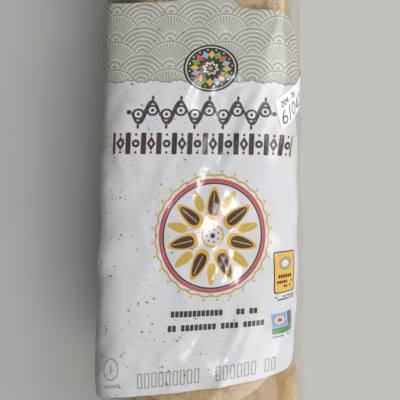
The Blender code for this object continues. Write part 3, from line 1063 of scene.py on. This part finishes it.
# Numerals as strokes in a box one unit high. A line is its two ends; an arc is its middle, its
# radii, and its first and last degrees.
DIGITS = {
    "0": [(0.30, 0.50, 0.26, 0.46, 0, 360)],
    "2": [(0.30, 0.70, 0.26, 0.26, 165, -35), (0.50, 0.53, 0.06, 0.04), (0.06, 0.04, 0.56, 0.04)],
    "4": [(0.44, 0.04, 0.44, 0.96), (0.44, 0.96, 0.04, 0.32), (0.04, 0.32, 0.58, 0.32)],
    "6": [(0.30, 0.30, 0.26, 0.26, 0, 360), (0.62, 0.34, 0.58, 0.62, 180, 100)],
    "7": [(0.04, 0.94, 0.56, 0.94), (0.56, 0.94, 0.22, 0.04)],
    "/": [(0.10, -0.06, 0.46, 1.06)],
    " ": [],
}
# The label's rows: numerals, where they start and stand, their height, and the width of a stroke
DATE_ROWS = (("204 76", (-0.0150, 0.0020), 0.0026, 0.00046), ("6/0427", (-0.0166, -0.0056), 0.0058, 0.00068))
DIGIT_PITCH = 0.74
ARC_STEPS = 22


def stroke_points(x, y, wide, high, first=None, last=None):
    """A numeral's stroke as points in its box."""
    if first is None:
        return np.linspace((x, y), (wide, high), 7)
    angle = np.radians(np.linspace(first, last, ARC_STEPS))
    return np.stack([x + wide * np.cos(angle), y + high * np.sin(angle)], axis=-1)


def make_date_digits(material):
    """The date label's stamped numerals, as thin ribbons of ink that lie on the paper."""
    points, faces = [], []
    for words, (start, foot), height, width in DATE_ROWS:
        for index, sign in enumerate(words):
            for stroke in DIGITS[sign]:
                path = stroke_points(*stroke) * height + (start + index * DIGIT_PITCH * height, foot)
                ahead = unit(np.gradient(path, axis=0))
                aside = np.stack([-ahead[:, 1], ahead[:, 0]], axis=-1) * width / 2
                count, first = len(path), len(points)
                for edge in (path + aside, path - aside):
                    points.extend(lifted(*label_place(*edge.T), LABEL_LIFT + DIGIT_LIFT))
                for low in range(first, first + count - 1):
                    faces.append((low + count, low + count + 1, low + 1, low))
    digits = new_piece("date_digits", points, faces, material)


def worn_material(name, colour, roughness, darker, scale, relief):
    """A plain material with faint mottling, and fine relief in its surface."""
    material, tree, shader = blank_material(name, colour, roughness)
    place = tree.nodes.new("ShaderNodeTexCoord").outputs["Object"]
    coarse, fine = noise_over(tree, place, scale, 4.0), noise_over(tree, place, scale * 9)
    mottled = laid(tree, coarse.ramp(0.42, 3.0), colour, darker)
    settle(tree, shader, {"Base Color": mottled, "Roughness": coarse * 0.25 + (roughness - 0.12)})
    add_relief(tree, shader, coarse + fine * 0.5, 0.3, relief)
    return material


WELD_REACH, WELD_TAPER, WELD_HAZE = 0.0026, 0.12, 0.16
WELD_RINGS, WELD_ROWS, WELD_POINTS = 22, 7, 220


def make_end_weld():
    """The flat weld that closes the film's end, a narrow ruffled strip out of its corners."""
    ends = FILM_POINTS[WELD_RINGS::-1]
    left, right = ([ring[way(ring[:, 0])] for ring in ends] for way in (np.argmin, np.argmax))
    share = np.linspace(0, 1, WELD_POINTS)
    path, _ = spaced(np.array(left + right[::-1]), share)
    for _ in range(12):
        relax(path)
    ahead = np.gradient(path, axis=0)
    outward = unit(np.stack([ahead[:, 1], -ahead[:, 0], 0 * share], axis=-1))
    outward *= np.sign((outward * (path - [0, CLOSED_CENTRE, 0])).sum(axis=1, keepdims=True))
    taper = ease(share / WELD_TAPER) * ease((1 - share) / WELD_TAPER)
    ripple = np.sin(share * 150) + 0.7 * np.sin(share * 83 + 1.0) + 0.4 * np.sin(share * 311)
    points = []
    for reach in np.linspace(0, 1, WELD_ROWS):
        strip = path + outward * (reach * WELD_REACH * (0.25 + 0.75 * taper))[:, None]
        strip[:, 2] += 0.00035 * reach * taper * ripple + 0.0012 * reach * np.sin(share * 19)
        points.extend(strip)
    film = clear_film_material("weld_film", WELD_HAZE)
    weld = new_piece("end_weld", points, grid_faces(WELD_ROWS, WELD_POINTS), film)
    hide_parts("bag")


CRUMB_COUNT = 340
CRUMB_RADIUS, CRUMB_RADIUS_MORE = 0.00018, 0.00050
CRUMBS_ON_TOP = (-0.1330, -0.1005)  # where along the pack the lower muffin's face is free
# Where crumbs have gathered: a muffin's middle, how far out, the height they lie at, and their share
CRUMB_RINGS = (
    ((0.0050, -0.0953), (0.0465, 0.0485), 0.0009, 0.25),
    ((0.0032, 0.0002), (0.0462, 0.0480), 0.0009, 0.15),
    ((0.0006, 0.0955), (0.0462, 0.0485), 0.0009, 0.15),
    ((0.0050, -0.0953), (0.0100, 0.0440), 0.0249, 0.45),
)


def make_crumbs(material):
    """Crumbs fallen into the corners of the bag and onto the lower muffin at the closed end."""
    random = np.random.default_rng(41)
    points, faces = [], []
    for middle, (nearest, farthest), height, share in CRUMB_RINGS:
        for _ in range(int(CRUMB_COUNT * share)):
            angle, out = random.uniform(0, math.tau), random.uniform(nearest, farthest)
            radius = CRUMB_RADIUS + CRUMB_RADIUS_MORE * random.uniform() ** 2.5
            x, y = middle[0] + out * math.cos(angle), middle[1] + out * math.sin(angle)
            place = Vector((x, y, height + radius))
            if height > MUFFIN_THICKNESS and not CRUMBS_ON_TOP[0] <= place.y <= CRUMBS_ON_TOP[1]:
                continue
            shape = bmesh.new()
            bmesh.ops.create_icosphere(shape, subdivisions=2, radius=radius)
            first = len(points)
            for vertex in shape.verts:
                rough = 1 + 0.35 * noise.noise(vertex.co / radius * 1.3 + place * 900)
                points.append(vertex.co * rough + place)
            faces.extend([tuple(first + v.index for v in face.verts) for face in shape.faces])
            shape.free()
    crumbs = new_piece("crumbs", points, faces, material, browned=np.full(len(points), 0.4))
    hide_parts("bag")


def make_camera():
    data = bpy.data.cameras.new("camera")
    data.sensor_width = 36.0
    data.lens = data.sensor_width / 2 * CAMERA_HEIGHT / (PIXEL * FRAME_PIXELS / 2)
    data.clip_start, data.clip_end = 0.01, 20.0
    place = (CAMERA_X, CAMERA_Y, HEIGHT + CAMERA_HEIGHT)
    scene.camera = add_object("camera", data, place)


def make_light(name, place, aim, size, power):
    data = bpy.data.lights.new(name, "AREA")
    data.shape, data.size, data.energy = "DISK", size, power
    light = add_object(name, data, place)
    light.rotation_mode = "QUATERNION"
    light.rotation_quaternion = (Vector(aim) - Vector(place)).to_track_quat("-Z", "Y")


FLOOR_SIZE = 40.0
SKY_MIDDLE, SKY_SLOPE = 0.052, 0.039  # brighter towards +X

# The lamps: name, place, what it points at, size, and watts
LAMPS = (
    ("key", (0.84, 0.30, 0.74), (0.0, 0.0, 0.02), 0.60, 4.0),
    ("upper_glint", (0.097, 0.283, 1.15), (0.0, 0.0, 0.02), 0.05, 0.5),
    ("middle_glint", (0.150, -0.089, 1.15), (0.0, 0.0, 0.02), 0.04, 1.1),
    ("lower_glint", (0.080, -0.456, 1.15), (0.0, 0.0, 0.02), 0.04, 0.3),
    ("front", (0.62, -0.88, 0.85), (0.0, -0.05, 0.02), 1.15, 12.0),
    ("back", (0.35, 1.00, 0.80), (0.0, 0.05, 0.02), 0.90, 6.0),
)


def make_stage():
    """A plain pale floor and soft studio light."""
    material, _, _ = blank_material("floor", linear(190, 189, 186), 0.7)
    bpy.ops.mesh.primitive_plane_add(size=FLOOR_SIZE)
    floor = bpy.context.object
    floor.name = "floor"
    floor.data.materials.append(material)
    for lamp in LAMPS:
        make_light(*lamp)
    world = bpy.data.worlds.new("studio")
    world.use_nodes = True
    tree = world.node_tree
    way = tree.nodes.new("ShaderNodeTexCoord").outputs["Generated"]
    split = add_node(tree, "SeparateXYZ", {0: way})
    brightness = Field(tree, split.outputs[0]) * SKY_SLOPE + SKY_MIDDLE
    settle(tree, tree.nodes["Background"], {"Color": (0.96, 0.98, 1.0, 1.0), "Strength": brightness})
    scene.world = world
    scene.view_settings.view_transform = "Standard"


def main():
    make_camera()
    make_film()
    make_printed_front(printed_film_material())
    crust = muffin_material()
    for one in MUFFINS:
        make_muffin(*one, crust)
    make_crumbs(crust)
    make_end_weld()
    paper = worn_material("label_paper", linear(243, 243, 245), 0.45, linear(236, 236, 240), 260.0, 0.00004)
    make_date_label(paper)
    make_date_digits(worn_material("stamp_ink", linear(66, 66, 70), 0.5, linear(96, 96, 102), 900.0, 0.00002))
    clip = worn_material("clip_plastic", linear(208, 212, 208), 0.42, linear(196, 200, 196), 140.0, 0.00008)
    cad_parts["clip"].material_slots[0].material = clip
    make_stage()


main()
